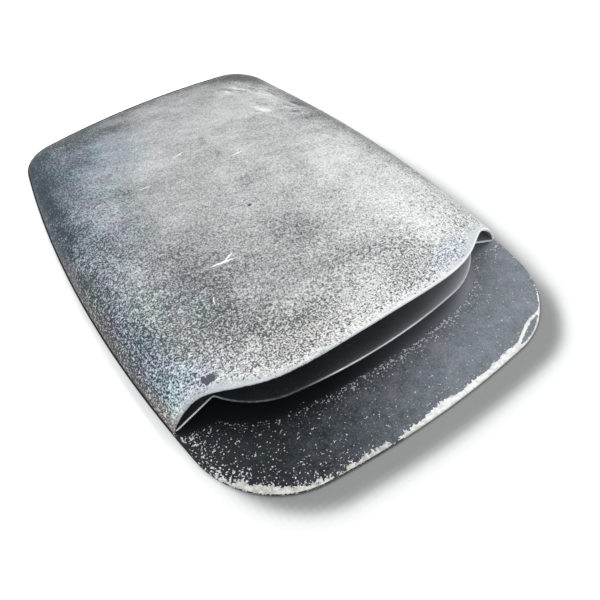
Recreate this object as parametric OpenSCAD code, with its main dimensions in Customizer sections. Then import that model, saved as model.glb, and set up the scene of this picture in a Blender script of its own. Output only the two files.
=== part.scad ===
// Bonnet scoop: a low moulded hood on a flat rounded flange, open at the front.
// X runs across the scoop, the mouth faces -Y, +Z is up. The origin is on the
// underside, at the middle of the whole outline.

/* [Overall] */
// Width of the flange at its widest line
body_w = 380; // [340:1:420]
// Length from the front edge of the flange to the rear edge
body_l = 526; // [480:1:560]
// Height of the hood above the underside, at the middle of the mouth
hood_h = 46; // [42:1:60]
// Thickness of the moulded wall
wall = 2.5; // [2:0.1:3]

/* [Outline] */
// Distance of the widest line in front of the middle
widest_ahead = 70; // [50:1:90]
// Radius of the gentle bulge along each side
side_r = 1150; // [1050:10:1400]
// Radius of the gentle bulge of the front edge
front_r = 920; // [750:10:1200]
// Radius of the gentle bulge of the rear edge
rear_r = 760; // [600:10:1000]
// Radius of the two front corners of the flange
front_corner_r = 86; // [70:1:95]
// Radius of the two rear corners
rear_corner_r = 46; // [35:1:55]

/* [Mouth] */
// Distance of the mouth corners in front of the middle
mouth_ahead = 147; // [135:1:155]
// How far the middle of the hood edge runs ahead of the mouth corners
hood_tongue = 33; // [25:1:40]
// Part of the half width that the hood edge's forward sweep takes
hood_sweep = 0.9; // [0.8:0.01:1]

/* [Inner lip] */
// Height of the level top of the lip above the underside
lip_h = 22; // [19:0.5:25]
// How far the middle of the lip runs ahead of the mouth corners
lip_tongue = 43.5; // [38:0.5:48]
// Depth of the lip at its middle, back into the hood
lip_depth = 60; // [55:1:75]
// Radius of the front edge of the lip at its middle
lip_front_r = 585; // [450:5:700]
// Radius of the two shoulders of the lip
lip_shoulder_r = 78; // [68:1:86]
// Distance of the shoulders' centres from the middle
lip_shoulder_x = 79; // [74:1:82]
// Distance from the middle to where the lip starts to fall to the flange
lip_fall_x = 147; // [140:1:154]
// Distance of the lip ends inside the widest line of the flange
lip_end_inset = 6; // [5:0.5:9]

/* [Hood form] */
// Height of the short steep roll along the sides, at the mouth
side_roll_h = 11; // [8:0.5:13]
// Height of the roll along the rear edge
rear_roll_h = 3.5; // [2.5:0.5:5]
// Width of the ledge that the flange leaves outside the hood
ledge = 1; // [0.8:0.1:2]
// How square the crown is across the hood, as a power
crown_power = 6; // [4.5:0.1:7]
// How quickly the hood rises from the rear edge, as a power
rise_power = 2.1; // [1.8:0.1:2.6]

/* [Underside] */
// Width of the seating rim along the sides and the rear
rim_w = 30; // [24:1:36]
// Distance of the front edge of the air hole in front of the middle
hole_ahead = 92; // [80:1:100]
// Radius of the front corners of the air hole
hole_corner_r = 40; // [30:1:50]

/* [Hidden] */

// Steps along each arc of the outline, and across and along the hood
ARC_STEPS = 14;
U_STEPS = 48;
V_STEPS = 26;
// Steps of the lip, along each arc, down each end and from front to back
LIP_ARC_STEPS = 10;
LIP_END_STEPS = 8;
LIP_DEEP_STEPS = 3;
// These pack the hood's lines closer towards its edges
PACK_ANGLE = 80;
V_PACKING = 1.35;
// The hood and the lip ends start inside the flange. These are the heights of
// their outer and inner bottom edges, as shares of its thickness.
ROOT_SHARE = 0.3;
HEM_SHARE = 0.18;
ROOT_Z = wall * ROOT_SHARE;
HEM_Z = wall * HEM_SHARE;
// Powers that shape the short rolls, the crown's sides and the hood's edge
SIDE_ROLL_POWER = 24;
REAR_ROLL_POWER = 40;
CROWN_SOFTNESS = 0.95;
HOOD_SWEEP_POWER = 2.9;
// Radius in the inner corners of the lip's edge, and the softness of its bend
LIP_FILLET_R = 3;
LIP_BEND = 0.4;

front_y = -body_l / 2;
rear_y = body_l / 2;
SHELL_COLOUR = [0.55, 0.57, 0.59];

// Point where two circles meet, on the side that dir picks
function circles_meet(c1, r1, c2, r2, dir) =
    let (d = c2 - c1,
         gap = norm(d),
         a = (r1 * r1 - r2 * r2 + gap * gap) / (2 * gap),
         h = sqrt(max(r1 * r1 - a * a, 0)),
         mid = c1 + d * a / gap)
    mid + dir * h * [-d[1], d[0]] / gap;

function angle_of(d) = atan2(d[1], d[0]);
function polar(c, r, angle) = c + r * [cos(angle), sin(angle)];

// Centres and angles of the five arcs that draw the right half of an outline.
// Each neighbouring pair of arcs is tangent.
function front_c(fy) = [0, fy + front_r];
side_c = [body_w / 2 - side_r, -widest_ahead];
rear_c = [0, rear_y - rear_r];
function front_corner_c(fy, cr) =
    circles_meet(front_c(fy), front_r - cr, side_c, side_r - cr, 1);
rear_corner_c =
    circles_meet(rear_c, rear_r - rear_corner_r, side_c, side_r - rear_corner_r, -1);
side_end = angle_of(rear_corner_c - side_c);
rear_start = angle_of(rear_corner_c - rear_c);

function arc(c, r, from, to, steps = ARC_STEPS) =
    [for (i = [0:steps - 1]) polar(c, r, from + (to - from) * i / steps)];

// Right half of an outline, from the middle of the front to the middle of the rear
function half_outline(fy, cr, inset) =
    let (fc = front_c(fy),
         cc = front_corner_c(fy, cr),
         a1 = angle_of(cc - fc),
         a2 = angle_of(cc - side_c))
    concat(arc(fc, front_r - inset, -90, a1),
           arc(cc, cr - inset, a1, a2),
           arc(side_c, side_r - inset, a2, side_end),
           arc(rear_corner_c, rear_corner_r - inset, side_end, rear_start),
           arc(rear_c, rear_r - inset, rear_start, 90),
           [[0, rear_y - inset]]);

function full_outline(half) =
    concat(half, [for (i = [len(half) - 2:-1:1]) [-half[i][0], half[i][1]]]);

// Edges of the hood seen from above. Each is a path by length along its arcs.
corner_mid = (side_end + rear_start) / 2;
mouth_angle = asin((-mouth_ahead + widest_ahead) / side_r);
side_len = side_r * (side_end - mouth_angle);
rear_len = rear_r * (90 - rear_start);
bend_len = rear_corner_r * (corner_mid - side_end);

// Right side of the hood, v from 0 at the rear corner to 1 at the mouth corner
function side_path(v) =
    let (s = v * (bend_len + side_len))
    s < bend_len
        ? polar(rear_corner_c, rear_corner_r - ledge, corner_mid - s / rear_corner_r)
        : polar(side_c, side_r - ledge, side_end - (s - bend_len) / side_r);

// Rear edge of the hood, u from -1 at the left corner to 1 at the right corner
function rear_path(u) =
    let (s = abs(u) * (bend_len + rear_len),
         p = s < rear_len
             ? polar(rear_c, rear_r - ledge, 90 - s / rear_r)
             : polar(rear_corner_c, rear_corner_r - ledge,
                     rear_start - (s - rear_len) / rear_corner_r))
    [sign(u) * p[0], p[1]];

// Plan of the hood's mouth edge: an easy S curve that carries its middle forward,
// between two level shoulders
mouth_corner = side_path(1);
function mouth_path(u) =
    let (t = pow(min(abs(u) / hood_sweep, 1), HOOD_SWEEP_POWER))
    [mouth_corner[0] * u, mouth_corner[1] - hood_tongue * (1 + cos(180 * t)) / 2];

// Hood seen from above: a patch stretched between its four edges
function hood_plan(u, v) =
    let (s = (u + 1) / 2,
         right = side_path(v),
         left = [-right[0], right[1]],
         back = rear_path(u),
         front = mouth_path(u),
         rc = side_path(0),
         fc = mouth_corner,
         between_sides = (1 - s) * left + s * right,
         between_ends = (1 - v) * back + v * front,
         corners = (1 - v) * [(2 * s - 1) * rc[0], rc[1]]
                 + v * [(2 * s - 1) * fc[0], fc[1]])
    between_sides + between_ends - corners;

// Height of the hood: a steep short roll at the edges under a soft crown
function hood_z(u, v) =
    let (side_roll = sqrt(1 - pow(abs(u), SIDE_ROLL_POWER)),
         rear_roll = sqrt(1 - pow(1 - v, REAR_ROLL_POWER)),
         roll_h = rear_roll_h + (side_roll_h - rear_roll_h) * v,
         crown = pow(1 - pow(abs(u), crown_power), CROWN_SOFTNESS),
         rise = 1 - pow(1 - v, rise_power),
         crown_h = hood_h - ROOT_Z - side_roll_h)
    ROOT_Z + roll_h * side_roll * rear_roll + crown_h * crown * rise;

function hood_point(u, v) =
    let (p = hood_plan(u, v)) [p[0], p[1], hood_z(u, v)];

// Grid values from -1 to 1 across and from 0 to 1 along
function packed_u(i) = sin(PACK_ANGLE * (2 * i / U_STEPS - 1)) / sin(PACK_ANGLE);
function packed_v(j) = pow(j / V_STEPS, V_PACKING);

// Inner face of a grid of outer points, one wall thickness below its surface
function inner_face(grid) =
    [for (j = [0:len(grid) - 1]) [for (i = [0:len(grid[j]) - 1])
        let (across = grid[j][min(i + 1, len(grid[j]) - 1)] - grid[j][max(i - 1, 0)],
             along = grid[min(j + 1, len(grid) - 1)][i] - grid[max(j - 1, 0)][i],
             n = cross(along, across),
             q = grid[j][i] - wall * n / norm(n))
        [q[0], q[1], max(q[2], HEM_Z)]]];

// Closed sheet between an outer grid and an inner grid of the same size
module sheet(outer, inner) {
    rows = len(outer);
    cols = len(outer[0]);
    count = rows * cols;
    points = concat([for (row = outer) each row], [for (row = inner) each row]);
    function at(j, i) = j * cols + i;
    top = [for (j = [0:rows - 2]) for (i = [0:cols - 2])
        each [[at(j, i), at(j, i + 1), at(j + 1, i)],
              [at(j, i + 1), at(j + 1, i + 1), at(j + 1, i)]]];
    bottom = [for (f = top) [f[2] + count, f[1] + count, f[0] + count]];
    rim = concat([for (i = [0:cols - 1]) at(0, i)],
                 [for (j = [1:rows - 1]) at(j, cols - 1)],
                 [for (i = [cols - 2:-1:0]) at(rows - 1, i)],
                 [for (j = [rows - 2:-1:1]) at(j, 0)]);
    edge = [for (k = [0:len(rim) - 1])
        let (a = rim[k], b = rim[(k + 1) % len(rim)])
        each [[b, a, a + count], [b, a + count, b + count]]];
    polyhedron(points, concat(top, bottom, edge));
}

// Flange and seating rim: one flat plate with the air hole
module flange() {
    linear_extrude(wall) difference() {
        polygon(full_outline(half_outline(front_y, front_corner_r, 0)));
        polygon(full_outline(half_outline(-hole_ahead - rim_w, hole_corner_r + rim_w, rim_w)));
    }
}

// Domed skin of the hood
module hood() {
    outer = [for (j = [0:V_STEPS]) [for (i = [0:U_STEPS])
        hood_point(packed_u(i), packed_v(j))]];
    sheet(outer, inner_face(outer));
}

// Plan of the right half of the lip's front edge, from the middle outwards: a
// wide front arc, a shoulder arc, a small corner arc, and a straight end
lip_end_x = body_w / 2 - lip_end_inset;
lip_back_y = mouth_corner[1] - lip_tongue + lip_depth;
lip_front_c = [0, mouth_corner[1] - lip_tongue + lip_front_r];
lip_shoulder_c = [lip_shoulder_x, lip_front_c[1]
    - sqrt(pow(lip_front_r - lip_shoulder_r, 2) - pow(lip_shoulder_x, 2))];
lip_corner_y = mouth_corner[1] - LIP_FILLET_R;
lip_corner_c = [lip_shoulder_x + sqrt(pow(lip_shoulder_r + LIP_FILLET_R, 2)
    - pow(lip_corner_y - lip_shoulder_c[1], 2)), lip_corner_y];
lip_front_end = angle_of(lip_shoulder_c - lip_front_c);
lip_shoulder_end = angle_of(lip_corner_c - lip_shoulder_c);
half_lip = concat(
    arc(lip_front_c, lip_front_r, -90, lip_front_end, LIP_ARC_STEPS),
    arc(lip_shoulder_c, lip_shoulder_r, lip_front_end, lip_shoulder_end, LIP_ARC_STEPS),
    arc(lip_corner_c, LIP_FILLET_R, lip_shoulder_end + 180, 90, LIP_END_STEPS),
    [for (i = [0:LIP_END_STEPS])
        lip_corner_c + [(lip_end_x - lip_corner_c[0]) * i / LIP_END_STEPS, LIP_FILLET_R]]);
lip_edge = concat([for (i = [len(half_lip) - 1:-1:1]) [-half_lip[i][0], half_lip[i][1]]],
                  half_lip);

// Height of the lip's top: level, then an even fall to inside the flange
function lip_z(x) =
    let (end_z = ROOT_Z + wall,
         fall = end_z + (lip_h - end_z) * (lip_end_x - abs(x)) / (lip_end_x - lip_fall_x))
    lip_h - LIP_BEND * ln(1 + exp((lip_h - fall) / LIP_BEND));

// Inner lip: a level shelf across the mouth that lands on the flange at both ends
module lip() {
    outer = [for (j = [0:LIP_DEEP_STEPS]) [for (p = lip_edge)
        [p[0], lip_back_y + (p[1] - lip_back_y) * j / LIP_DEEP_STEPS, lip_z(p[0])]]];
    inner = [for (row = outer) [for (p = row) p - [0, 0, wall]]];
    sheet(outer, inner);
}

module scoop_shell() {
    color(SHELL_COLOUR) resize([body_w, body_l, hood_h]) union() {
        flange();
        hood();
        lip();
    }
}

scoop_shell();
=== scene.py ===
"""The looks of the bonnet scoop: its skin, worn paint, light and camera."""

import math

import bmesh
import bpy
import numpy as np
from mathutils import Matrix, Vector, kdtree


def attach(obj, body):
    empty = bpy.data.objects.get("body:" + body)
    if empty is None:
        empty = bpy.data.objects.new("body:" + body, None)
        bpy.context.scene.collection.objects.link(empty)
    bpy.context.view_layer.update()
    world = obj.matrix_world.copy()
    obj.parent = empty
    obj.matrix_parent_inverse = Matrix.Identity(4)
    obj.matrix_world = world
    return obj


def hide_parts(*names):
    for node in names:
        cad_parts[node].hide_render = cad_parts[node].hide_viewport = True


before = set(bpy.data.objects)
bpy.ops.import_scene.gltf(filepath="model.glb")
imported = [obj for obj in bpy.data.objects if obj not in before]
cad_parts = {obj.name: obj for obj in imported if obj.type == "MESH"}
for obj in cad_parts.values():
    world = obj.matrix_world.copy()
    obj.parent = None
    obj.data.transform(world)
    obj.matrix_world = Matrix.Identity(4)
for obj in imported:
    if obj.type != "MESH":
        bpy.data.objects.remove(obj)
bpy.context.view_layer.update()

MM = 0.001

# Camera

# Solved from the photo: its place in millimetres, its three axes and its focal length in pixels.
CAMERA_AT = (-287.18, -453.99, 548.73)
CAMERA_RIGHT = (0.80434073, -0.5941508, 0.0045626)
CAMERA_UP = (0.45690654, 0.62341666, 0.6344983)
CAMERA_BACK = (-0.37983207, -0.50826814, 0.77291079)
FOCAL_PIXELS = 752.1
PHOTO_PIXELS = 600
SENSOR = 36.0
CLIP_NEAR, CLIP_FAR = 0.01, 50.0


def add_camera():
    data = bpy.data.cameras.new("camera")
    data.sensor_fit = "HORIZONTAL"
    data.sensor_width = SENSOR
    data.lens = FOCAL_PIXELS / PHOTO_PIXELS * SENSOR
    data.clip_start, data.clip_end = CLIP_NEAR, CLIP_FAR
    camera = bpy.data.objects.new("camera", data)
    bpy.context.scene.collection.objects.link(camera)
    turn = Matrix((CAMERA_RIGHT, CAMERA_UP, CAMERA_BACK)).transposed().to_4x4()
    camera.matrix_world = Matrix.Translation(Vector(CAMERA_AT) * MM) @ turn
    bpy.context.scene.camera = camera


add_camera()

# Form

# The same measures and formulas as the CAD source, in millimetres.
BODY_W, BODY_L, HOOD_H, WALL = 380.0, 526.0, 46.0, 2.5
WIDEST_AHEAD, SIDE_R, FRONT_R, REAR_R = 70.0, 1150.0, 920.0, 760.0
FRONT_CORNER_R, REAR_CORNER_R = 86.0, 46.0
MOUTH_AHEAD, HOOD_TONGUE, HOOD_SWEEP, HOOD_SWEEP_POWER = 147.0, 33.0, 0.9, 2.9
LIP_H, LIP_TONGUE, LIP_DEPTH, LIP_END_INSET = 22.0, 43.5, 60.0, 6.0
LIP_FRONT_R, LIP_SHOULDER_R, LIP_SHOULDER_X, LIP_FALL_X = 585.0, 78.0, 79.0, 147.0
LIP_FILLET_R, LIP_BEND = 3.0, 0.4
SIDE_ROLL_H, REAR_ROLL_H, LEDGE = 11.0, 3.5, 1.0
CROWN_POWER, RISE_POWER, CROWN_SOFTNESS = 6.0, 2.1, 0.95
SIDE_ROLL_POWER, REAR_ROLL_POWER = 24.0, 40.0
RIM_W, HOLE_AHEAD, HOLE_CORNER_R = 30.0, 92.0, 40.0
# Heights at which the hood's outer face and its inner face end in the plate.
ROOT_Z, HEM_Z = WALL * 0.3, WALL * 0.18
FRONT_Y, REAR_Y = -BODY_L / 2, BODY_L / 2

# Points on the outline's arcs, from the front over the corner and the side to the rear.
OUTLINE_COUNTS, FINE_COUNTS = (60, 50, 150, 36, 70), (160, 120, 320, 60, 160)
# Points on the lip's arcs, from its middle outwards, and on its straight end.
LIP_COUNTS, LIP_END_COUNT = (40, 50, 16), 40


def circles_meet(c1, r1, c2, r2, way):
    """The point where two circles cross, on the side that way picks."""
    d = c2 - c1
    gap = np.hypot(*d)
    a = (r1 * r1 - r2 * r2 + gap * gap) / (2 * gap)
    h = math.sqrt(max(r1 * r1 - a * a, 0.0))
    return c1 + d * a / gap + way * h * np.array([-d[1], d[0]]) / gap


def angle_of(d):
    return math.atan2(d[1], d[0])


def polar(c, r, angle):
    return np.stack([c[0] + r * np.cos(angle), c[1] + r * np.sin(angle)], -1)


def arc_runs(arcs, counts, inset=0.0):
    """Points along each (centre, radius, start, end) arc, without its last one."""
    return [
        polar(c, r - inset, a + (b - a) * np.arange(n) / n) for (c, r, a, b), n in zip(arcs, counts)
    ]


SIDE_C = np.array([BODY_W / 2 - SIDE_R, -WIDEST_AHEAD])
REAR_C = np.array([0.0, REAR_Y - REAR_R])
REAR_CORNER_C = circles_meet(REAR_C, REAR_R - REAR_CORNER_R, SIDE_C, SIDE_R - REAR_CORNER_R, -1)
SIDE_END = angle_of(REAR_CORNER_C - SIDE_C)
REAR_START = angle_of(REAR_CORNER_C - REAR_C)


def half_outline(front_y, corner_r, inset, counts):
    """Right half of the outline, from the middle of the front to the middle of the rear."""
    fc = np.array([0.0, front_y + FRONT_R])
    cc = circles_meet(fc, FRONT_R - corner_r, SIDE_C, SIDE_R - corner_r, 1)
    a1, a2 = angle_of(cc - fc), angle_of(cc - SIDE_C)
    arcs = (
        (fc, FRONT_R, -math.pi / 2, a1),
        (cc, corner_r, a1, a2),
        (SIDE_C, SIDE_R, a2, SIDE_END),
        (REAR_CORNER_C, REAR_CORNER_R, SIDE_END, REAR_START),
        (REAR_C, REAR_R, REAR_START, math.pi / 2),
    )
    return np.concatenate([*arc_runs(arcs, counts, inset), [[0.0, REAR_Y - inset]]])


def both_halves(half):
    return np.concatenate([half, half[-2:0:-1] * [-1, 1]])


def whole_outline(counts, inset=0.0):
    """The outline all round, from the middle of the front over the right side."""
    return both_halves(half_outline(FRONT_Y, FRONT_CORNER_R, inset, counts))


def length_along(line):
    """Millimetres from the line's first point to each of its points."""
    return np.concatenate([[0], np.cumsum(np.hypot(*np.diff(line, axis=0).T))])


def place_along(ring, number):
    """Millimetres along an outline from the middle of its front, negative on its left half."""
    run = length_along(ring)
    return np.where(number > len(ring) // 2, run[number] - run[-1], run[number])


CORNER_MID = (SIDE_END + REAR_START) / 2
MOUTH_ANGLE = math.asin((WIDEST_AHEAD - MOUTH_AHEAD) / SIDE_R)
SIDE_LEN = SIDE_R * (SIDE_END - MOUTH_ANGLE)
REAR_LEN = REAR_R * (math.pi / 2 - REAR_START)
BEND_LEN = REAR_CORNER_R * (CORNER_MID - SIDE_END)


def side_path(v):
    """Foot of the hood's right side, from the rear corner at 0 to the mouth at 1."""
    s = np.asarray(v, float) * (BEND_LEN + SIDE_LEN)
    bend = polar(REAR_CORNER_C, REAR_CORNER_R - LEDGE, CORNER_MID - s / REAR_CORNER_R)
    side = polar(SIDE_C, SIDE_R - LEDGE, SIDE_END - (s - BEND_LEN) / SIDE_R)
    return np.where((s < BEND_LEN)[..., None], bend, side)


def rear_path(u):
    """Foot of the hood's rear edge, from the left corner at -1 to the right one at 1."""
    s = np.abs(u) * (BEND_LEN + REAR_LEN)
    rear = polar(REAR_C, REAR_R - LEDGE, math.pi / 2 - s / REAR_R)
    bend_angle = REAR_START - (s - REAR_LEN) / REAR_CORNER_R
    bend = polar(REAR_CORNER_C, REAR_CORNER_R - LEDGE, bend_angle)
    p = np.where((s < REAR_LEN)[..., None], rear, bend)
    return p * np.stack([np.sign(u), np.ones_like(u)], -1)


MOUTH_CORNER = side_path(1.0)


def mouth_path(u):
    """Plan of the hood's free edge: an S curve on each side of a wide tongue."""
    t = np.minimum(np.abs(u) / HOOD_SWEEP, 1.0) ** HOOD_SWEEP_POWER
    y = MOUTH_CORNER[1] - HOOD_TONGUE * (1 + np.cos(math.pi * t)) / 2
    return np.stack([MOUTH_CORNER[0] * u, y], -1)


def hood_plan(u, v):
    """Plan of the hood, stretched between its two sides, its rear edge and its free edge."""
    s = ((u + 1) / 2)[..., None]
    t = v[..., None]
    right = side_path(v)
    left = right * [-1, 1]
    back = rear_path(u)
    front = mouth_path(u)
    rc, fc = side_path(0.0), MOUTH_CORNER
    corners = (1 - t) * np.stack([u * rc[0], u * 0 + rc[1]], -1)
    corners = corners + t * np.stack([u * fc[0], u * 0 + fc[1]], -1)
    return (1 - s) * left + s * right + (1 - t) * back + t * front - corners


def hood_z(u, v):
    """Height of the hood: a steep roll along its foot, and a soft crown that rises to the mouth."""
    side_roll = np.sqrt(np.maximum(1 - np.abs(u) ** SIDE_ROLL_POWER, 0))
    rear_roll = np.sqrt(np.maximum(1 - (1 - v) ** REAR_ROLL_POWER, 0))
    roll_h = REAR_ROLL_H + (SIDE_ROLL_H - REAR_ROLL_H) * v
    crown = np.maximum(1 - np.abs(u) ** CROWN_POWER, 0) ** CROWN_SOFTNESS
    rise = 1 - (1 - v) ** RISE_POWER
    return ROOT_Z + roll_h * side_roll * rear_roll + (HOOD_H - ROOT_Z - SIDE_ROLL_H) * crown * rise


def lip_edge():
    """Plan of the lip's front edge: a wide arc, two shoulder arcs and two straight ends."""
    leg_y = MOUTH_CORNER[1]
    front_c = np.array([0.0, leg_y - LIP_TONGUE + LIP_FRONT_R])
    drop = math.sqrt((LIP_FRONT_R - LIP_SHOULDER_R) ** 2 - LIP_SHOULDER_X**2)
    shoulder_c = np.array([LIP_SHOULDER_X, front_c[1] - drop])
    corner_y = leg_y - LIP_FILLET_R
    reach = math.sqrt((LIP_SHOULDER_R + LIP_FILLET_R) ** 2 - (corner_y - shoulder_c[1]) ** 2)
    corner_c = np.array([LIP_SHOULDER_X + reach, corner_y])
    front_end, shoulder_end = angle_of(shoulder_c - front_c), angle_of(corner_c - shoulder_c)
    arcs = (
        (front_c, LIP_FRONT_R, -math.pi / 2, front_end),
        (shoulder_c, LIP_SHOULDER_R, front_end, shoulder_end),
        (corner_c, LIP_FILLET_R, shoulder_end + math.pi, math.pi / 2),
    )
    leg_x = np.linspace(corner_c[0], BODY_W / 2 - LIP_END_INSET, LIP_END_COUNT)
    leg = np.stack([leg_x, np.full_like(leg_x, leg_y)], -1)
    half = np.concatenate([*arc_runs(arcs, LIP_COUNTS), leg])
    return np.concatenate([half[:0:-1] * [-1, 1], half])


def lip_z(x):
    """Height of the lip's top: level across the mouth, and falling to the plate at both ends."""
    end_z, end_x = ROOT_Z + WALL, BODY_W / 2 - LIP_END_INSET
    fall = end_z + (LIP_H - end_z) * (end_x - np.abs(x)) / (end_x - LIP_FALL_X)
    return LIP_H - LIP_BEND * np.logaddexp(0, (LIP_H - fall) / LIP_BEND)


def packed(n, pack_angle=80.0):
    """Places from -1 to 1 that lie closer together towards both ends."""
    a = math.radians(pack_angle)
    return np.sin(a * (2 * np.arange(n + 1) / n - 1)) / math.sin(a)


# Mesh

TOP, FLANGE, INSIDE, UNDERSIDE, LIP_EDGE = range(5)
# The mouth field is the distance behind the hood's free edge, in millimetres. Off the hood it has
# one low value, and on the hood's outer face it stays above the other.
OFF_HOOD, OUTER_LOWEST = -300.0, -20.0
# Points this close, in millimetres, are joined, and edges this short, in metres, are taken out.
JOIN_MM, TINY_EDGE = 0.004, 1e-7
SHARP_ANGLE = 38

HOOD_COLUMNS, HOOD_ROWS, ROW_PACKING = 210, 135, 1.15
NOSE_LEN = 1.0
# Rows round the hood's free edge: the turn in degrees, and the mouth field there.
NOSE = ((22, 0.6), (45, 0.2), (67, -0.2), (90, -0.7), (113, -1.2), (135, -1.7), (158, -2.2))
INNER_FACE_MOUTH = -3.0

# Rounding of the lip's edge, and rows over its depth as shares of it.
LIP_EASE, LIP_BEVEL = 0.35, 0.1
LIP_SHARES = (1, 0.8, 0.6, 0.4, 0.25, 0.12, 0.04)

# The flange's rim from its underside to its top: how far in from the outline, and how high.
RIM_PROFILE = (
    *((inset, 0.0) for inset in (RIM_W, 22, 14, 6, 0.8)),
    *((0.25, 0.25), (0, 0.8), (0, 1.2), (0.1, 1.75), (0.45, 2.2)),
    *((inset, WALL) for inset in (1.1, 2, 3, 4.5, 6, 8, 10, 13, 16, 20, 25, RIM_W)),
)
RIM_UNDER_STRIPS = 5
FIELD_COLUMNS, FIELD_ROWS = 100, 40


def put_field(data, name, values):
    layer = data.attributes.new(name, "FLOAT", "POINT")
    layer.data.foreach_set("value", values.astype(np.float32))


class Mesh:
    """Grids of points joined into one mesh, with one material for each grid cell."""

    def __init__(self):
        self.points, self.faces, self.slots, self.mouth = [], [], [], []
        self.count = 0

    def grid(self, rows, slots, mouth=OFF_HOOD, wrap=False):
        """rows is (rows, columns, 3), with one material slot for each strip between two rows."""
        n, m = rows.shape[:2]
        at = self.count + np.arange(n * m).reshape(n, m)
        self.points.append(rows.reshape(-1, 3))
        self.mouth.append(np.broadcast_to(mouth, (n, m)).reshape(-1))
        self.count += n * m
        nxt = np.roll(at, -1, 1) if wrap else at[:, 1:]
        cur = at if wrap else at[:, :-1]
        quads = np.stack([cur[:-1], nxt[:-1], nxt[1:], cur[1:]], -1)
        self.faces.append(quads.reshape(-1, 4))
        self.slots.append(np.repeat(np.asarray(slots), quads.shape[1]))

    def build(self, name, materials):
        points = np.concatenate(self.points) * MM
        faces = np.concatenate(self.faces)
        data = bpy.data.meshes.new(name)
        data.from_pydata(points.tolist(), [], faces.tolist())
        for m in materials:
            data.materials.append(m)
        data.polygons.foreach_set("material_index", np.concatenate(self.slots).astype(np.int32))
        put_field(data, "mouth", np.concatenate(self.mouth))
        bm = bmesh.new()
        bm.from_mesh(data)
        bmesh.ops.remove_doubles(bm, verts=bm.verts, dist=JOIN_MM * MM)
        bmesh.ops.dissolve_degenerate(bm, edges=bm.edges, dist=TINY_EDGE)
        bmesh.ops.recalc_face_normals(bm, faces=bm.faces)
        bm.to_mesh(data)
        bm.free()
        data.shade_smooth()
        data.set_sharp_from_angle(angle=math.radians(SHARP_ANGLE))
        return data


def at_height(plan, z):
    return np.concatenate([plan, np.full((*plan.shape[:-1], 1), z)], -1)


def hood_rows(mesh):
    """Domed skin: its outer face, a rounded free edge at the mouth, and its inner face."""
    u, v = packed(HOOD_COLUMNS), (np.arange(HOOD_ROWS + 1) / HOOD_ROWS) ** ROW_PACKING
    vv, uu = np.meshgrid(v, u, indexing="ij")
    outer = np.concatenate([hood_plan(uu, vv), hood_z(uu, vv)[..., None]], -1)
    across = np.gradient(outer, axis=1)
    along = np.gradient(outer, axis=0)
    n = np.cross(along, across)
    n /= np.linalg.norm(n, axis=-1, keepdims=True)
    inner = outer - WALL * n
    inner[..., 2] = np.maximum(inner[..., 2], HEM_Z)
    step = np.linalg.norm(np.diff(outer, axis=0), axis=-1)
    behind = np.concatenate([np.cumsum(step[::-1], 0)[::-1], np.zeros((1, len(u)))])
    ahead = along[-1] / np.linalg.norm(along[-1], axis=-1, keepdims=True)
    mid, half = (outer[-1] + inner[-1]) / 2, (outer[-1] - inner[-1]) / 2
    turn, nose_mouth = np.array(NOSE).T[..., None]
    turn = np.radians(turn)[..., None]
    nose = mid - ahead * NOSE_LEN + ahead * NOSE_LEN * np.sin(turn) + half * np.cos(turn)
    outer[-1] -= ahead * NOSE_LEN
    inner[-1] -= ahead * NOSE_LEN
    behind[-1] = NOSE_LEN
    rows = np.concatenate([outer, nose, inner[::-1]])
    nose_mouth = nose_mouth * np.ones(len(u))
    mouth = np.concatenate([behind, nose_mouth, INNER_FACE_MOUTH - behind[::-1]])
    strips = [TOP] * (len(v) + len(nose)) + [INSIDE] * (len(v) - 1)
    mesh.grid(rows, strips, mouth)
    mesh.grid(np.stack([outer[0], inner[0]]), [TOP], behind[0])
    for side in (0, -1):
        mesh.grid(np.stack([outer[:, side], inner[:, side]]), [TOP], behind[:, side])


def lip_rows(mesh):
    """Inner lip: a level shelf across the mouth with a bare, barely rounded front edge."""
    edge = lip_edge()
    z = lip_z(edge[:, 0])
    back_y = MOUTH_CORNER[1] - LIP_TONGUE + LIP_DEPTH
    # The way into the lip, square to its edge.
    along = np.gradient(edge, axis=0)
    inward = np.stack([-along[:, 1], along[:, 0]], -1) / np.hypot(*along.T)[:, None]

    def row(share, drop, behind=0.0):
        p = edge + inward * behind
        return np.stack([p[:, 0], p[:, 1] + (back_y - p[:, 1]) * share, z - drop], -1)

    top = [row(s, 0.0, LIP_EASE) for s in LIP_SHARES]
    nose = [
        row(0, 0.0, LIP_EASE),
        row(0, LIP_BEVEL, LIP_BEVEL),
        row(0, LIP_EASE),
        row(0, WALL / 2),
        row(0, WALL - LIP_EASE),
        row(0, WALL - LIP_BEVEL, LIP_BEVEL),
        row(0, WALL, LIP_EASE),
    ]
    under = [row(s, WALL, LIP_EASE) for s in LIP_SHARES[::-1]]
    rows = np.stack(top + nose + under + [top[0]])
    n = len(LIP_SHARES)
    mesh.grid(rows, [INSIDE] * n + [LIP_EDGE] * (len(nose) - 1) + [INSIDE] * (n + 1))
    # Each end is closed between the upper and the lower half of its row of points.
    middle = n + len(nose) // 2
    for end in (0, -1):
        mesh.grid(np.stack([rows[: middle + 1, end], rows[middle:-1, end][::-1]]), [INSIDE])


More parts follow.
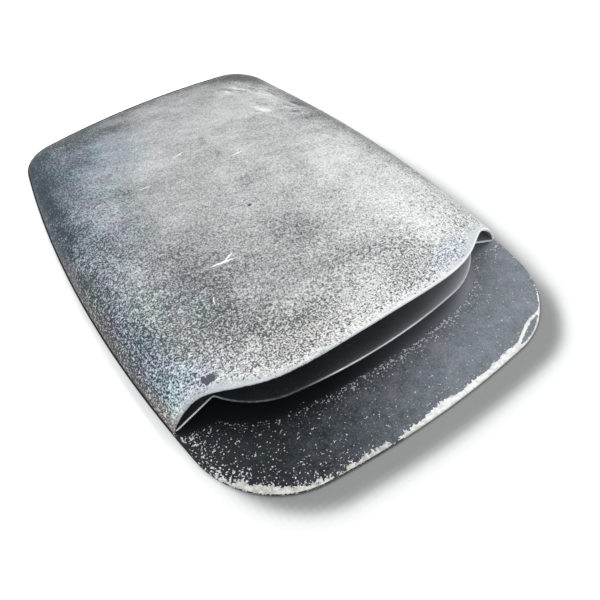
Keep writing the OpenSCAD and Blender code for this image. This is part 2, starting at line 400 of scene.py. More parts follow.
def flange_rows(mesh):
    """Flat plate with a rounded rim, its front field, and the air hole."""
    rim = np.stack([at_height(whole_outline(OUTLINE_COUNTS, inset), z) for inset, z in RIM_PROFILE])
    top_strips = len(rim) - 1 - RIM_UNDER_STRIPS
    mesh.grid(rim, [UNDERSIDE] * RIM_UNDER_STRIPS + [FLANGE] * top_strips, wrap=True)

    hole = half_outline(-HOLE_AHEAD - RIM_W, HOLE_CORNER_R + RIM_W, RIM_W, OUTLINE_COUNTS)
    outer = half_outline(FRONT_Y, FRONT_CORNER_R, RIM_W, OUTLINE_COUNTS)
    # The field ends where the corner of the hole meets the side.
    meet = OUTLINE_COUNTS[0] + OUTLINE_COUNTS[1]
    tolerance = 1e-9
    reach = int(np.argmax(outer[:, 1] >= hole[meet][1] - tolerance))
    share = np.linspace(0, 1, FIELD_COLUMNS)

    def spread(path):
        """The path up to the meeting point, as evenly spread points."""
        path = np.concatenate([path, [hole[meet]]])
        run = length_along(path)
        return np.stack([np.interp(share * run[-1], run, path[:, k]) for k in (0, 1)], -1)

    t = np.linspace(0, 1, FIELD_ROWS)[:, None, None]
    field = (1 - t) * spread(outer[:reach]) + t * spread(hole[:meet])
    for flip in (1, -1):
        for z, slot in ((WALL, FLANGE), (0.0, UNDERSIDE)):
            mesh.grid(at_height(field * [flip, 1], z), [slot] * (FIELD_ROWS - 1))
    loop = both_halves(hole)
    mesh.grid(np.stack([at_height(loop, z) for z in (WALL, 0.0)]), [UNDERSIDE], wrap=True)


# Materials

# Colours, as linear red, green and blue. A pair is mixed by a noise, a field or both.
PRIMER, COOL_PRIMER, WARM_PRIMER = (0.553, 0.557, 0.549), (0.46, 0.525, 0.57), (0.44, 0.41, 0.385)
PAINT, COOL_PAINT, WARM_PAINT = (0.050, 0.052, 0.053), (0.018, 0.031, 0.042), (0.030, 0.026, 0.025)
RUBBED_WHITE, EDGE_WHITE, SCRATCH_WHITE = (0.70, 0.70, 0.69), (0.70, 0.72, 0.73), (0.76, 0.76, 0.76)
BAND_BARE = ((0.265, 0.29, 0.31), (0.60, 0.625, 0.635))
BLOT_PAINT, WRAPPED_PAINT = (0.045, 0.055, 0.065), (0.03, 0.038, 0.043)
CHIP_BROWN, CHIP_CREAM = (0.10, 0.075, 0.06), (0.50, 0.47, 0.43)
FLANGE_PAINT = ((0.0060, 0.0095, 0.0115), (0.013, 0.016, 0.020))
# The pale haze on the flange is partly a painted sheen.
FLANGE_HAZE_AND_SHEEN = ((0.190, 0.210, 0.228), (0.228, 0.240, 0.275))
FLANGE_CHIP = (0.60, 0.615, 0.605)
CREAM_FILLER = ((0.36, 0.35, 0.325), (0.55, 0.545, 0.52))
WHITE_FILLER = ((0.54, 0.54, 0.53), (0.70, 0.705, 0.69))
INSIDE_PAINT = ((0.014, 0.020, 0.023), (0.024, 0.032, 0.036))
# Dusty paint, lightened as painted light that falls in.
INSIDE_DUST_AND_LIGHT = ((0.25, 0.265, 0.285), (0.31, 0.32, 0.345))
DUST_SPECK = (0.3, 0.31, 0.32)
RAW_RESIN = ((0.022, 0.024, 0.026), (0.075, 0.078, 0.078))
LIP_EDGE_COLOURS = ((0.03, 0.036, 0.04), (0.84, 0.86, 0.87))
FLOOR_COLOURS = ((0.96, 0.955, 0.95), (0.22, 0.22, 0.22))
# Tints that a paint's hue wanders between.
FAINT_TINTS = ((1.008, 0.995, 1.012), (0.992, 1.005, 0.996))
STRONG_TINTS = ((1.045, 0.97, 1.045), (0.94, 1.025, 0.99))
FLANGE_TINTS = ((1.005, 0.985, 1.03), (0.955, 1.015, 1.0))
HUE_STEP = (0.40, 0.60)

GRIT_STRENGTH = 7.5
# A scratch wanders by up to about half of this, and lies only on skin above these heights.
SCRATCH_WANDER, SCRATCH_HEIGHTS = 4 * MM, (8 * MM, 10 * MM)


class Nodes:
    """Short names for building a node tree."""

    def __init__(self, name):
        self.material = bpy.data.materials.new(name)
        self.material.use_nodes = True
        self.tree = self.material.node_tree
        self.shader = self.tree.nodes["Principled BSDF"]
        self.place = self.add("ShaderNodeTexCoord").outputs["Object"]

    def add(self, kind, **settings):
        node = self.tree.nodes.new(kind)
        for key, value in settings.items():
            setattr(node, key, value)
        return node

    def plug(self, socket, value):
        if isinstance(value, bpy.types.NodeSocket):
            self.tree.links.new(value, socket)
        elif isinstance(value, (tuple, list)) and len(value) == 3 and socket.type == "RGBA":
            socket.default_value = (*value, 1.0)
        else:
            socket.default_value = value

    def math(self, operation, *values, clamp=False):
        node = self.add("ShaderNodeMath", operation=operation, use_clamp=clamp)
        for socket, value in zip(node.inputs, values):
            self.plug(socket, value)
        return node.outputs[0]

    def sway(self, value, noise, amount, clamp=False):
        """The value, moved up and down by a noise that lies around one half."""
        return self.math("MULTIPLY_ADD", self.math("SUBTRACT", noise, 0.5), amount, value, clamp=clamp)

    def step(self, value, low, high):
        """Soft step from 0 at low to 1 at high, or down where low is the greater one."""
        node = self.add("ShaderNodeMapRange", interpolation_type="SMOOTHSTEP")
        for socket, v in zip(node.inputs, (value, low, high, 0.0, 1.0)):
            self.plug(socket, v)
        return node.outputs[0]

    def mix_node(self, share, a, b, **settings):
        node = self.add("ShaderNodeMix", clamp_factor=True, **settings)
        for key, v in (("Factor", share), ("A", a), ("B", b)):
            self.plug(next(s for s in node.inputs if s.name == key and s.enabled), v)
        return next(s for s in node.outputs if s.enabled)

    def mix(self, share, a, b):
        return self.mix_node(share, a, b, data_type="RGBA")

    def tint(self, colour, by):
        return self.mix_node(1.0, colour, by, data_type="RGBA", blend_type="MULTIPLY")

    def blend(self, share, a, b):
        return self.mix_node(share, a, b, data_type="FLOAT")

    def noise(self, scale, detail, roughness, stretch=None, distortion=0.0, shift=None, turn=0):
        place = self.place
        if stretch or shift:
            mapping = self.add("ShaderNodeMapping", vector_type="TEXTURE")
            self.plug(mapping.inputs["Vector"], place)
            mapping.inputs["Scale"].default_value = [1 / v for v in stretch or (1, 1, 1)]
            mapping.inputs["Location"].default_value = shift or (0, 0, 0)
            mapping.inputs["Rotation"].default_value = (0, 0, math.radians(turn))
            place = mapping.outputs[0]
        node = self.add("ShaderNodeTexNoise")
        self.plug(node.inputs["Vector"], place)
        node.inputs["Scale"].default_value = scale
        node.inputs["Detail"].default_value = detail
        node.inputs["Roughness"].default_value = roughness
        node.inputs["Distortion"].default_value = distortion
        return node.outputs["Fac"]

    def field(self, name):
        return self.add("ShaderNodeAttribute", attribute_name=name).outputs["Fac"]

    def streak(self, middle, turn, half_long, half_wide, torn):
        """A thin mark on the skin, seen from above, with tapering ends."""
        mapping = self.add("ShaderNodeMapping", vector_type="TEXTURE")
        self.plug(mapping.inputs["Vector"], self.place)
        mapping.inputs["Location"].default_value = (middle[0] * MM, middle[1] * MM, 0)
        mapping.inputs["Rotation"].default_value = (0, 0, math.radians(turn))
        split = self.add("ShaderNodeSeparateXYZ")
        self.plug(split.inputs[0], mapping.outputs[0])
        along = self.math("ABSOLUTE", self.math("MULTIPLY", split.outputs["X"], 1 / (half_long * MM)))
        bend = self.sway(split.outputs["Y"], torn, SCRATCH_WANDER)
        across = self.math("ABSOLUTE", self.math("MULTIPLY", bend, 1 / (half_wide * MM)))
        reach = self.math("ADD", across, self.math("POWER", along, 2.0))
        above = self.step(split.outputs["Z"], *SCRATCH_HEIGHTS)
        return self.math("MULTIPLY", self.step(reach, 1.4, 0.6), above)

    def bump(self, height, strength, distance_mm):
        node = self.add("ShaderNodeBump")
        node.inputs["Strength"].default_value = strength
        node.inputs["Distance"].default_value = distance_mm * MM
        self.plug(node.inputs["Height"], height)
        self.tree.links.new(node.outputs[0], self.shader.inputs["Normal"])

    def surface(self, colour, roughness):
        self.plug(self.shader.inputs["Base Color"], colour)
        self.plug(self.shader.inputs["Roughness"], roughness)
        return self.material


def hood_level(n, mixed, cloud):
    """How far the paint is rubbed, from below 0 where it is sound to above 1 where it is gone.
    Painted shade on the right side and rear roll, and a painted dark reflection at the left, lower it.
    """
    patches = n.noise(62, 4.0, 0.6, stretch=(0.6, 1, 1), turn=-18, shift=(2, 0, 5))
    strokes = n.noise(190, 3.0, 0.6, stretch=(0.1, 1, 1), turn=-14)
    level = n.sway(n.field("rub_and_shade"), cloud, 0.5)
    level = n.sway(level, patches, 0.5)
    level = n.sway(level, strokes, 0.22)
    # Wavy wipe marks where the smear field is on.
    wipes = n.noise(150, 3.0, 0.6, stretch=(0.3, 1, 1), turn=-62, shift=(3, 3, 0), distortion=0.8)
    smear = n.math("MULTIPLY", n.field("smear"), 2.6)
    level = n.math("MULTIPLY_ADD", n.math("SUBTRACT", wipes, 0.45), smear, level)
    return n.sway(level, mixed, n.math("MULTIPLY", n.field("grain"), GRIT_STRENGTH))


def hood_paint(n, full, share):
    """Pale primer showing through dark paint, with cooler, warmer and whiter places."""
    cool, warm = n.field("cool"), n.field("warm")
    light = n.mix(cool, PRIMER, COOL_PRIMER)
    light = n.mix(n.math("MULTIPLY", warm, 0.8), light, WARM_PRIMER)
    light = n.mix(n.step(full, 1.0, 1.6), light, RUBBED_WHITE)
    dark = n.mix(warm, n.mix(cool, PAINT, COOL_PAINT), WARM_PAINT)
    hue = n.step(n.noise(36, 3.0, 0.6, shift=(3, 1, 2)), *HUE_STEP)
    tints = n.mix(cool, n.mix(hue, *FAINT_TINTS), n.mix(hue, *STRONG_TINTS))
    return n.tint(n.mix(share, dark, light), tints)


def hood_band(n, mixed, torn):
    """Share of the bare band along the mouth: its border is chipped, and it keeps spots of paint."""
    band = n.sway(n.field("band"), torn, 19.0)
    band = n.step(n.sway(band, mixed, 26.0), -1.2, 1.2)
    kept = n.step(mixed, 0.59, 0.64)
    return n.math("MULTIPLY", band, n.math("MULTIPLY_ADD", kept, -0.8, 1.0))


def hood_marks(n, colour, torn):
    """Paint left in blots, scratches down to white, and chips near the foot of the left side."""
    blot = n.step(n.sway(n.field("blot"), torn, 2.2), 0.44, 0.56)
    colour = n.mix(blot, colour, BLOT_PAINT)
    for mark in SCRATCHES:
        colour = n.mix(n.streak(*mark, torn), colour, SCRATCH_WHITE)
    foot = n.noise(300, 3.0, 0.6, shift=(8, 1, 3))
    foot = n.math("MULTIPLY_ADD", n.math("SUBTRACT", n.field("chip"), 1.0), 0.3, foot)
    colour = n.mix(n.step(foot, 0.46, 0.52), colour, CHIP_BROWN)
    return n.mix(n.step(foot, 0.55, 0.58), colour, CHIP_CREAM)


def hood_edge(n, colour, torn):
    """The free edge is rubbed white, and at the left the paint wraps round it."""
    lit = n.math("MULTIPLY", n.step(n.field("mouth"), 2.6, 1.2), n.field("edge"))
    colour = n.mix(lit, colour, EDGE_WHITE)
    wrap = n.math("ADD", n.sway(n.field("mouth"), torn, 5.0), n.field("wrap"))
    return n.mix(n.step(wrap, -0.5, 0.5), WRAPPED_PAINT, colour)


def top_material():
    """Pale rubbed primer showing through dark paint, as fine grit, with a bare band at the mouth."""
    n = Nodes("worn_hood")
    grit = n.noise(640, 1.5, 0.6)
    coarse = n.noise(330, 1.0, 0.5, shift=(1, 2, 3))
    mixed = n.math("MULTIPLY_ADD", coarse, 0.28, n.math("MULTIPLY", grit, 0.72))
    cloud = n.noise(20, 4.0, 0.6)
    torn = n.noise(210, 3.5, 0.65, shift=(5, 5, 5))
    full = hood_level(n, mixed, cloud)
    share = n.math("ADD", full, 0.0, clamp=True)
    band = hood_band(n, mixed, torn)
    bare = n.mix(n.sway(n.field("bareness"), cloud, 0.5, clamp=True), *BAND_BARE)
    colour = n.mix(band, hood_paint(n, full, share), bare)
    colour = hood_edge(n, hood_marks(n, colour, torn), torn)
    share = n.math("MAXIMUM", share, band)
    n.bump(n.math("MULTIPLY_ADD", grit, 0.3, share), 0.2, 0.1)
    n.shader.inputs["Specular IOR Level"].default_value = 0.3
    return n.surface(colour, n.blend(share, 0.45, 0.65))


def flange_paint(n, mottle):
    """Dark satin paint under a pale, mottled haze that is partly a painted sheen, lighter to the right.
    """
    cloud = n.noise(24, 4.0, 0.6)
    patches = n.noise(70, 4.0, 0.65, shift=(1, 0, 2))
    uneven = n.math("SUBTRACT", n.math("MULTIPLY_ADD", patches, 0.8, mottle), 0.9)
    # The haze is partly a painted sheen, lighter towards the right.
    haze_and_sheen = n.math("MULTIPLY_ADD", uneven, n.field("mottle"), n.field("haze_and_sheen"), clamp=True)
    colour = n.mix(haze_and_sheen, n.mix(cloud, *FLANGE_PAINT), n.mix(cloud, *FLANGE_HAZE_AND_SHEEN))
    hue = n.step(n.noise(55, 3.0, 0.6, shift=(4, 1, 2)), *HUE_STEP)
    return n.tint(colour, n.mix(hue, *FLANGE_TINTS))


def flange_chips(n, small):
    """Share of the sparse pale chips, fine ones and a few large ones."""
    speck = n.field("speck")
    large = n.noise(260, 3.5, 0.7, shift=(2, 7, 1))
    gate = n.math("MULTIPLY_ADD", speck, -0.27, 0.73)
    chips = n.math("MULTIPLY", n.step(small, gate, n.math("ADD", gate, 0.06)), 0.85)
    gate = n.math("MULTIPLY_ADD", n.math("MULTIPLY", speck, speck), -0.24, 0.715)
    chips = n.math("MAXIMUM", chips, n.step(large, gate, n.math("ADD", gate, 0.04)))
    return n.math("MULTIPLY", chips, n.step(speck, 0.01, 0.06))


def flange_wear(n, small):
    """Share of bare filler along the front: islands, with spikes that run in from the rim."""
    torn = n.noise(170, 4.5, 0.68, shift=(1, 4, 2))
    spikes = n.noise(230, 2.0, 0.5, stretch=(1, 0.3, 1), turn=-12, shift=(6, 2, 2))
    spikes = n.math("MULTIPLY", n.step(spikes, 0.60, 0.72), 4.5)
    ragged = n.sway(n.sway(spikes, torn, 20.0), small, 9.0)
    worn = n.math("MULTIPLY_ADD", ragged, n.field("ragged"), n.field("loss"))
    return n.step(worn, -0.35, 0.35)


def flange_material():
    """Dark satin paint with sparse chips, worn to cream filler along its front edge."""
    n = Nodes("worn_flange")
    mottle = n.noise(620, 2.0, 0.6)
    small = n.noise(560, 1.5, 0.55)
    chips = flange_chips(n, small)
    worn = flange_wear(n, small)
    crumb = n.step(n.noise(260, 3.0, 0.6), 0.35, 0.62)
    filler = n.mix(n.field("white"), n.mix(crumb, *CREAM_FILLER), n.mix(crumb, *WHITE_FILLER))
    colour = n.mix(worn, n.mix(chips, flange_paint(n, mottle), FLANGE_CHIP), filler)
    cover = n.math("MAXIMUM", chips, worn)
    n.bump(n.math("SUBTRACT", n.math("MULTIPLY", mottle, 0.25), cover), 0.3, 0.12)
    n.shader.inputs["Specular IOR Level"].default_value = 0.1
    return n.surface(colour, n.blend(cover, n.math("MULTIPLY_ADD", mottle, 0.1, 0.40), 0.65))


def inside_material():
    """Unworn dark paint on the lip and inside the hood, with dust and painted light where the light
    falls in.
    """
    n = Nodes("sheltered_paint")
    cloud = n.noise(30, 4.0, 0.6)
    # This field lightens the paint to the right: dust with painted light falling in.
    colour = n.mix(n.field("dust_and_light"), n.mix(cloud, *INSIDE_PAINT), n.mix(cloud, *INSIDE_DUST_AND_LIGHT))
    dust_and_light = n.step(n.noise(650, 1.5, 0.6), 0.66, 0.72)
    colour = n.mix(n.math("MULTIPLY", dust_and_light, 0.35), colour, DUST_SPECK)
    n.bump(n.noise(120, 4.0, 0.6), 0.15, 0.15)
    return n.surface(colour, n.math("MULTIPLY_ADD", cloud, 0.15, 0.3))


def underside_material():
    """Raw moulded underside: dark resin with a loose fibre grain."""
    n = Nodes("raw_underside")
    fibre = n.noise(140, 5.0, 0.7, stretch=(1, 0.25, 1), distortion=2.0)
    cross = n.noise(160, 5.0, 0.7, stretch=(0.25, 1, 1), distortion=2.0, shift=(4, 4, 0))
    weave = n.math("MAXIMUM", fibre, cross)
    n.bump(weave, 0.5, 0.4)
    return n.surface(n.mix(n.step(weave, 0.4, 0.75), *RAW_RESIN), 0.62)


def lip_edge_material():
    """The cut front edge of the lip, bare where hands and cloths have rubbed it."""
    n = Nodes("bare_lip_edge")
    rub = n.sway(n.field("rub"), n.noise(240, 4.0, 0.65), 0.5, clamp=True)
    return n.surface(n.mix(rub, *LIP_EDGE_COLOURS), 0.4)


# Wear, with painted shade, sheen and light, placed one by one

# Soft spots on the hood, each (x, y, long radius, short radius, turn, amount) in photo pixels.
# Lighter and darker places. The thin dark streak at the left, second in the list, is a painted
# reflection.
TONE = (
    (80, 162, 60, 28, -25, -0.22),
    # A painted dark reflection along the hood's left side.
    (97, 133, 34, 5, -24, -0.20),
    (205, 300, 42, 34, 0, -0.34),
    (250, 270, 60, 34, 0, -0.16),
    (300, 228, 34, 17, 0, -0.20),
    (366, 258, 36, 22, -20, -0.22),
    (165, 262, 60, 30, 0, -0.18),
    (130, 225, 50, 30, 40, -0.12),
    (145, 330, 36, 26, 30, -0.22),
    (235, 335, 50, 18, -20, -0.22),
    (305, 318, 30, 16, -20, -0.22),
    (392, 195, 62, 34, 32, 0.28),
    (438, 232, 30, 24, 40, 0.16),
    (318, 150, 30, 18, 30, 0.12),
    (365, 298, 60, 14, -33, 0.20),
    (240, 360, 40, 10, -12, 0.10),
    (205, 92, 46, 13, -20, -0.17),
    (130, 118, 30, 11, -25, -0.14),
    (302, 122, 18, 13, 30, -0.17),
    (175, 184, 80, 17, -8, -0.13),
    (54, 222, 15, 36, -18, -0.24),
    (92, 246, 28, 16, 30, -0.13),
    (92, 302, 20, 28, -20, -0.22),
    (122, 362, 15, 22, -20, -0.16),
    (300, 240, 32, 13, -20, -0.10),
    (405, 272, 24, 13, -35, -0.20),
    (196, 332, 36, 16, -10, -0.18),
    (286, 360, 34, 12, -15, -0.20),
    (385, 152, 22, 10, 32, -0.12),
    (405, 212, 36, 13, 32, 0.16),
    (300, 178, 22, 13, 0, 0.14),
    (210, 268, 22, 12, 0, 0.12),
    (360, 234, 26, 9, 15, 0.10),
    (302, 300, 26, 13, -20, 0.10),
    (362, 270, 24, 13, -30, 0.28),
    (268, 89, 14, 8, 0, 0.22),
    (52, 150, 22, 8, -25, 0.12),
    (92, 268, 20, 12, 0, 0.10),
    (118, 214, 18, 12, 0, 0.18),
    (92, 180, 18, 11, 0, 0.16),
    (58, 246, 8, 18, -20, -0.12),
    (90, 306, 9, 22, -25, -0.12),
    (246, 184, 18, 10, 0, -0.08),
    (240, 122, 22, 9, 0, -0.08),
    (202, 139, 2.5, 6, -10, -0.25),
    (217, 153, 2, 2, 0, -0.25),
    (356, 286, 4, 3, 0, -0.30),
)
# Bluish and brownish places.
COOL = (
    (38, 205, 62, 30, 66, 1.5),
    (85, 160, 60, 30, -25, 0.9),
    (105, 235, 60, 45, 60, 0.7),
    (140, 350, 75, 26, 52, 1.0),
    (190, 385, 40, 24, 0, 1.0),
    (190, 300, 45, 35, 0, 0.45),
    (450, 252, 26, 12, -45, 0.9),
)
WARM = ((92, 325, 75, 13, 58, 1.0), (150, 412, 30, 10, 50, 0.7), (320, 330, 50, 16, -25, 0.35))
# Rougher and smoother grit, and one place at the left where it is nearly gone.
GRAIN = ((180, 318, 55, 34, 0, 0.28), (285, 285, 60, 30, -10, -0.28), (105, 210, 40, 50, 0, 0.25))
CALM = ((38, 185, 40, 20, 60, 1.0),)
BLOTS = ((207, 380, 7.5, 6, -20, 1.0), (194.5, 373.5, 3, 2.6, 0, 0.9), (249, 205, 3.5, 1.6, -40, 0.8))
SMEARS = (
    (234, 90, 15, 5, -12, 0.9),
    (262, 110, 11, 6, 20, 1.0),
    (294, 108, 10, 5, 25, 0.9),
    (268, 95, 18, 9, 10, 0.7),
    (322, 130, 34, 9, 30, 0.4),
)
# Each scratch is its middle in millimetres, its turn in degrees, half length and half width.
SCRATCHES = (
    ((-15.5, 128.3), 11, 9.5, 0.55),
    ((-71.5, 100.6), -8, 6.5, 0.5),
    ((35.8, 89.2), -3, 10.5, 0.5),
    ((-68, -43), -8, 13, 1.1),
    ((-60, -40), 25, 8, 0.8),
    ((-99, -77), 60, 5, 0.55),
)

# Every profile below is a line through (place, value) pairs.
# Across the hood, by x in millimetres: the width of the bare band at the mouth and how pale it is,
# how white its free edge is, how far the paint wraps round that edge, and how bare the lip's edge is.
BAND_MM = (
    *((-187, 1), (-176, 2), (-165, 4), (-150, 7), (-140, 9), (-120, 7), (-100, 4), (-80, 2)),
    *((-50, 1.5), (0, 2), (60, 4), (100, 6), (118, 8), (132, 13), (146, 11), (160, 6), (187, 4)),
)
BARENESS = (
    *((-187, 0.15), (-150, 0.38), (-120, 0.50), (-60, 0.58), (0, 0.8)),
    *((80, 0.85), (115, 0.45), (150, 0.5), (187, 0.9)),
)
EDGE_RUB = ((-150, 0), (-60, 0), (0, 0.4), (80, 0.8), (187, 1.0))
WRAP_MM = ((-187, 1.5), (-150, 0.6), (-90, 0.4), (-40, 1.4), (60, 4.0))
LIP_RUB = (
    *((-184, 0.95), (-165, 0.9), (-152, 0.55), (-146, 0.25), (-135, 0.06), (-80, 0.08), (-62, 0.35)),
    *((-48, 0.95), (-28, 0.90), (-8, 0.70), (12, 1.0), (30, 1.0), (65, 0.75), (100, 0.80), (184, 0.85)),
)
# Along the hood's left side, by y: how far in the side is dark, and how chipped its foot is.
LEFT_DARK_MM = ((-130, 8), (-100, 12), (-60, 20), (0, 28), (60, 38), (200, 42))
LEFT_CHIPS = ((-150, 1), (-125, 1), (-60, 0.7), (-10, 0))

# Along the flange's rim, by millimetres from the middle of its front: how far in the filler
# shows, and how ragged its border is.
WEAR_MM = (
    *((-262, -4), (-250, -1.5), (-240, -3), (-228, -0.5), (-218, -1.5), (-207, 1.5), (-200, 0)),
    *((-192, 3), (-180, 6), (-165, 7), (-145, 5), (-128, 5.5), (-112, 3.5), (-98, 1.5), (-85, 3.2)),
    *((-62, 4.2), (-50, 3.0), (-44, -0.5), (-38, 2.5), (-30, 4.2), (-10, 4.8), (0, 6.8), (12, 7.5)),
    *((22, 6.5), (32, 5.2), (60, 5.2), (80, 6.2), (100, 6.8), (112, 6.0), (160, 2.2), (172, 1.6)),
    *((182, 1.0), (215, -1)),
)
RAGGED = (
    *((-200, 1), (-60, 0.6), (0, 0.8), (30, 0.35), (100, 0.35), (112, 0.12)),
    *((150, 0.12), (165, 0.3), (190, 0.5)),
)
# The filler's reach past both ends, and a value that no noise can lift.
NO_WEAR_MM, SOUND_MM = -9, -30
# At the right corner the wear splits round an island of paint, between an inner and an outer line.
ISLAND = (110, 157)
ISLAND_INNER_MM = ((110, 4.5), (118, 6.5), (126, 8), (135, 8.8), (143, 8.2), (150, 6), (157, 2))
ISLAND_OUTER_MM = ((110, 2.6), (118, 1.6), (135, 1.2), (157, 1.6))
ISLAND_LINE_MM = 1.5
# Between these places the rim's upright side is bare too, below this height.
BARE_SIDE, RIM_SIDE_Z = (-36, 150), 1.9

# Across the flange, by x: how far ahead of the lip it is sheltered, and how chipped it is.
SHELTER_MM = ((-184, 8), (-150, 11), (-100, 5), (0, 6), (100, 7), (150, 6), (184, 5))
BORDER_CHIPS = ((-184, 0.3), (-100, 0.55), (-20, 1.0))
CHIPS = ((0, 1), (60, 1.05), (120, 1.0), (185, 0.75))
# Across the photo, by its pixels: the haze on the flange, partly a painted sheen; its share under the
# lip, above 1 at the right as painted light against the shade there; how mottled it is; and the dust
# inside, with painted light falling in.
HAZE_AND_SHEEN = ((285, 0.01), (330, 0.09), (370, 0.24), (420, 0.45), (460, 0.65), (520, 0.68))
SHELTERED_HAZE_AND_LIGHT = ((330, 0.30), (400, 0.9), (470, 1.5))
MOTTLE = ((230, 0.14), (330, 0.50), (430, 0.85))
DUST_AND_LIGHT = ((300, 0.02), (383, 0.15), (420, 0.38), (450, 0.9), (470, 1.0))

# The hood's tone away from its edges, and what its dark sides take off: the left side keeps its
# dark paint, while the right side and the rear roll take painted shade.
MIDDLE_TONE, LEFT_DARK, REAR_PAINTED_SHADE, RIGHT_PAINTED_SHADE = 0.56, 0.54, 0.46, 0.44
# Its lowest value and how softly that is reached, and the limits of the grit's strength.
DARKEST_TONE, TONE_SOFTNESS = -0.03, 0.06
LEAST_GRAIN, MOST_GRAIN = 0.1, 1.1


def profile(place, pairs, **ends):
    return np.interp(place, *zip(*pairs), **ends)


def ramp(value, start, end):
    """Straight rise from 0 at start to 1 at end, which may lie on either side of it."""
    return np.clip((value - start) / (end - start), 0, 1)


def fade(distance, reach, power=1):
    """1 up to a distance of 0, and falling off beyond it."""
    return np.exp(-((np.maximum(distance, 0) / reach) ** power))


def photo_place(points):
    """Where the photo shows these points, in its pixels. Wear marks are placed by it."""
    rel = points - np.array(CAMERA_AT)
    depth = -(rel @ np.array(CAMERA_BACK))
    across, up = rel @ np.array(CAMERA_RIGHT), rel @ np.array(CAMERA_UP)
    half = PHOTO_PIXELS / 2
    return half + FOCAL_PIXELS * across / depth, half - FOCAL_PIXELS * up / depth


def blobs(px, py, spots):
    """Sum of soft spots at these photo pixels."""
    total = np.zeros_like(px)
    for cx, cy, rx, ry, turn, amount in spots:
        a = math.radians(turn)
        dx, dy = px - cx, py - cy
        p, q = dx * math.cos(a) + dy * math.sin(a), -dx * math.sin(a) + dy * math.cos(a)
        total += amount * np.exp(-((p / rx) ** 2) - (q / ry) ** 2)
    return total


def nearest(line, x, y):
    """Plan distance from each point to a dense line, and the number of the line's nearest point."""
    tree = kdtree.KDTree(len(line))
    for i, (a, b) in enumerate(line):
        tree.insert((a, b, 0), i)
    tree.balance()
    hits = [tree.find((a, b, 0)) for a, b in zip(x, y)]
    return np.array([h[2] for h in hits]), np.array([h[1] for h in hits])


def near_left_side(x, y, rim):
    """Greatest at the foot of the hood's left side, where the paint is kept, and less inwards."""
    near = fade(rim, profile(y, LEFT_DARK_MM), 1.2) + 0.45 * fade(rim, 7, 2)
    return near * ramp(x, -60, -100)


def hood_tone(x, y, rim, mouth, px, py):
    """How light the hood is rubbed, and painted shade on its right side and rear roll: dark at its
    sides and rear, light along its free edge.
    """
    # Painted shade on the rear roll and on the right side, where the skin slopes away.
    near_rear = fade(rim, 15, 2) * ramp(y, 190, 215)
    near_right = fade(rim - 20, 12, 1.5) * ramp(x, 80, 120) * ramp(y, -90, -30)
    rub_and_shade = MIDDLE_TONE + blobs(px, py, TONE) - LEFT_DARK * near_left_side(x, y, rim)
    rub_and_shade = rub_and_shade - REAR_PAINTED_SHADE * near_rear - RIGHT_PAINTED_SHADE * near_right
    rub_and_shade = rub_and_shade + 0.55 * fade(mouth, 8, 2) + 0.16 * fade(mouth, 22, 2)
    # The darkest places still show a little grit.
    return np.logaddexp(0, (rub_and_shade - DARKEST_TONE) / TONE_SOFTNESS) * TONE_SOFTNESS + DARKEST_TONE


def hood_grain(x, y, rim, mouth, px, py):
    """How strong the hood's grit is: strongest near the mouth and at the lower left."""
    grain = 0.16 + 0.80 * fade(mouth, 100) + 0.16 * near_left_side(x, y, rim)
    grain = grain + 0.25 * ramp(py, 230, 300) * ramp(px, 190, 90)
    grain = grain * (1 - 0.55 * np.clip(blobs(px, py, CALM), 0, 1)) * (1 + blobs(px, py, GRAIN))
    return np.where(mouth > OUTER_LOWEST, np.clip(grain, LEAST_GRAIN, MOST_GRAIN), 0)


def filler_fields(along, rim, z):
    """The bare filler along the flange's rim."""
    loss = profile(along, WEAR_MM, left=NO_WEAR_MM, right=NO_WEAR_MM) - rim
    line = ISLAND_LINE_MM - np.abs(rim - profile(along, ISLAND_INNER_MM))
    split = np.maximum(profile(along, ISLAND_OUTER_MM) - rim, line)
    loss = np.where((along > ISLAND[0]) & (along < ISLAND[1]), split, loss)
    bare_side = (along > BARE_SIDE[0]) & (along < BARE_SIDE[1])
    return {
        "loss": np.where((z < RIM_SIDE_Z) & ~bare_side, SOUND_MM, loss),
        "ragged": profile(along, RAGGED),
        "white": ramp(along, -60, 0),
    }


def flange_fields(x, y, rim, px):
    """The chips and the haze, partly a painted sheen, on the open flange, laid out from the lip's edge.
    """
    lip = lip_edge()
    ahead = np.where(y < np.interp(x, *lip.T), 1, -1) * nearest(lip, x, y)[0]
    beyond = ahead - profile(x, SHELTER_MM)
    open_air = ramp(beyond, -1, 1)
    speck = 0.14 + 0.74 * fade(beyond, 7) * profile(x, BORDER_CHIPS) + 0.2 * fade(rim, 9)
    speck = speck + ramp(x, -40, -170) * (0.12 + 0.40 * fade(rim, 16))
    # Above 1 this is painted light in the shade under the lip.
    sheltered = profile(px, SHELTERED_HAZE_AND_LIGHT)
    return {
        "speck": speck * open_air * ramp(x, -188, -178) * profile(x, CHIPS),
        # Painted sheen that grows to the right; under the lip at the right, painted light against the
        # shade.
        "haze_and_sheen": profile(px, HAZE_AND_SHEEN) * (sheltered + (1 - sheltered) * open_air),
        "mottle": open_air * profile(px, MOTTLE),
        # Dust with painted light falling in, growing to the right.
        "dust_and_light": profile(px, DUST_AND_LIGHT),
    }


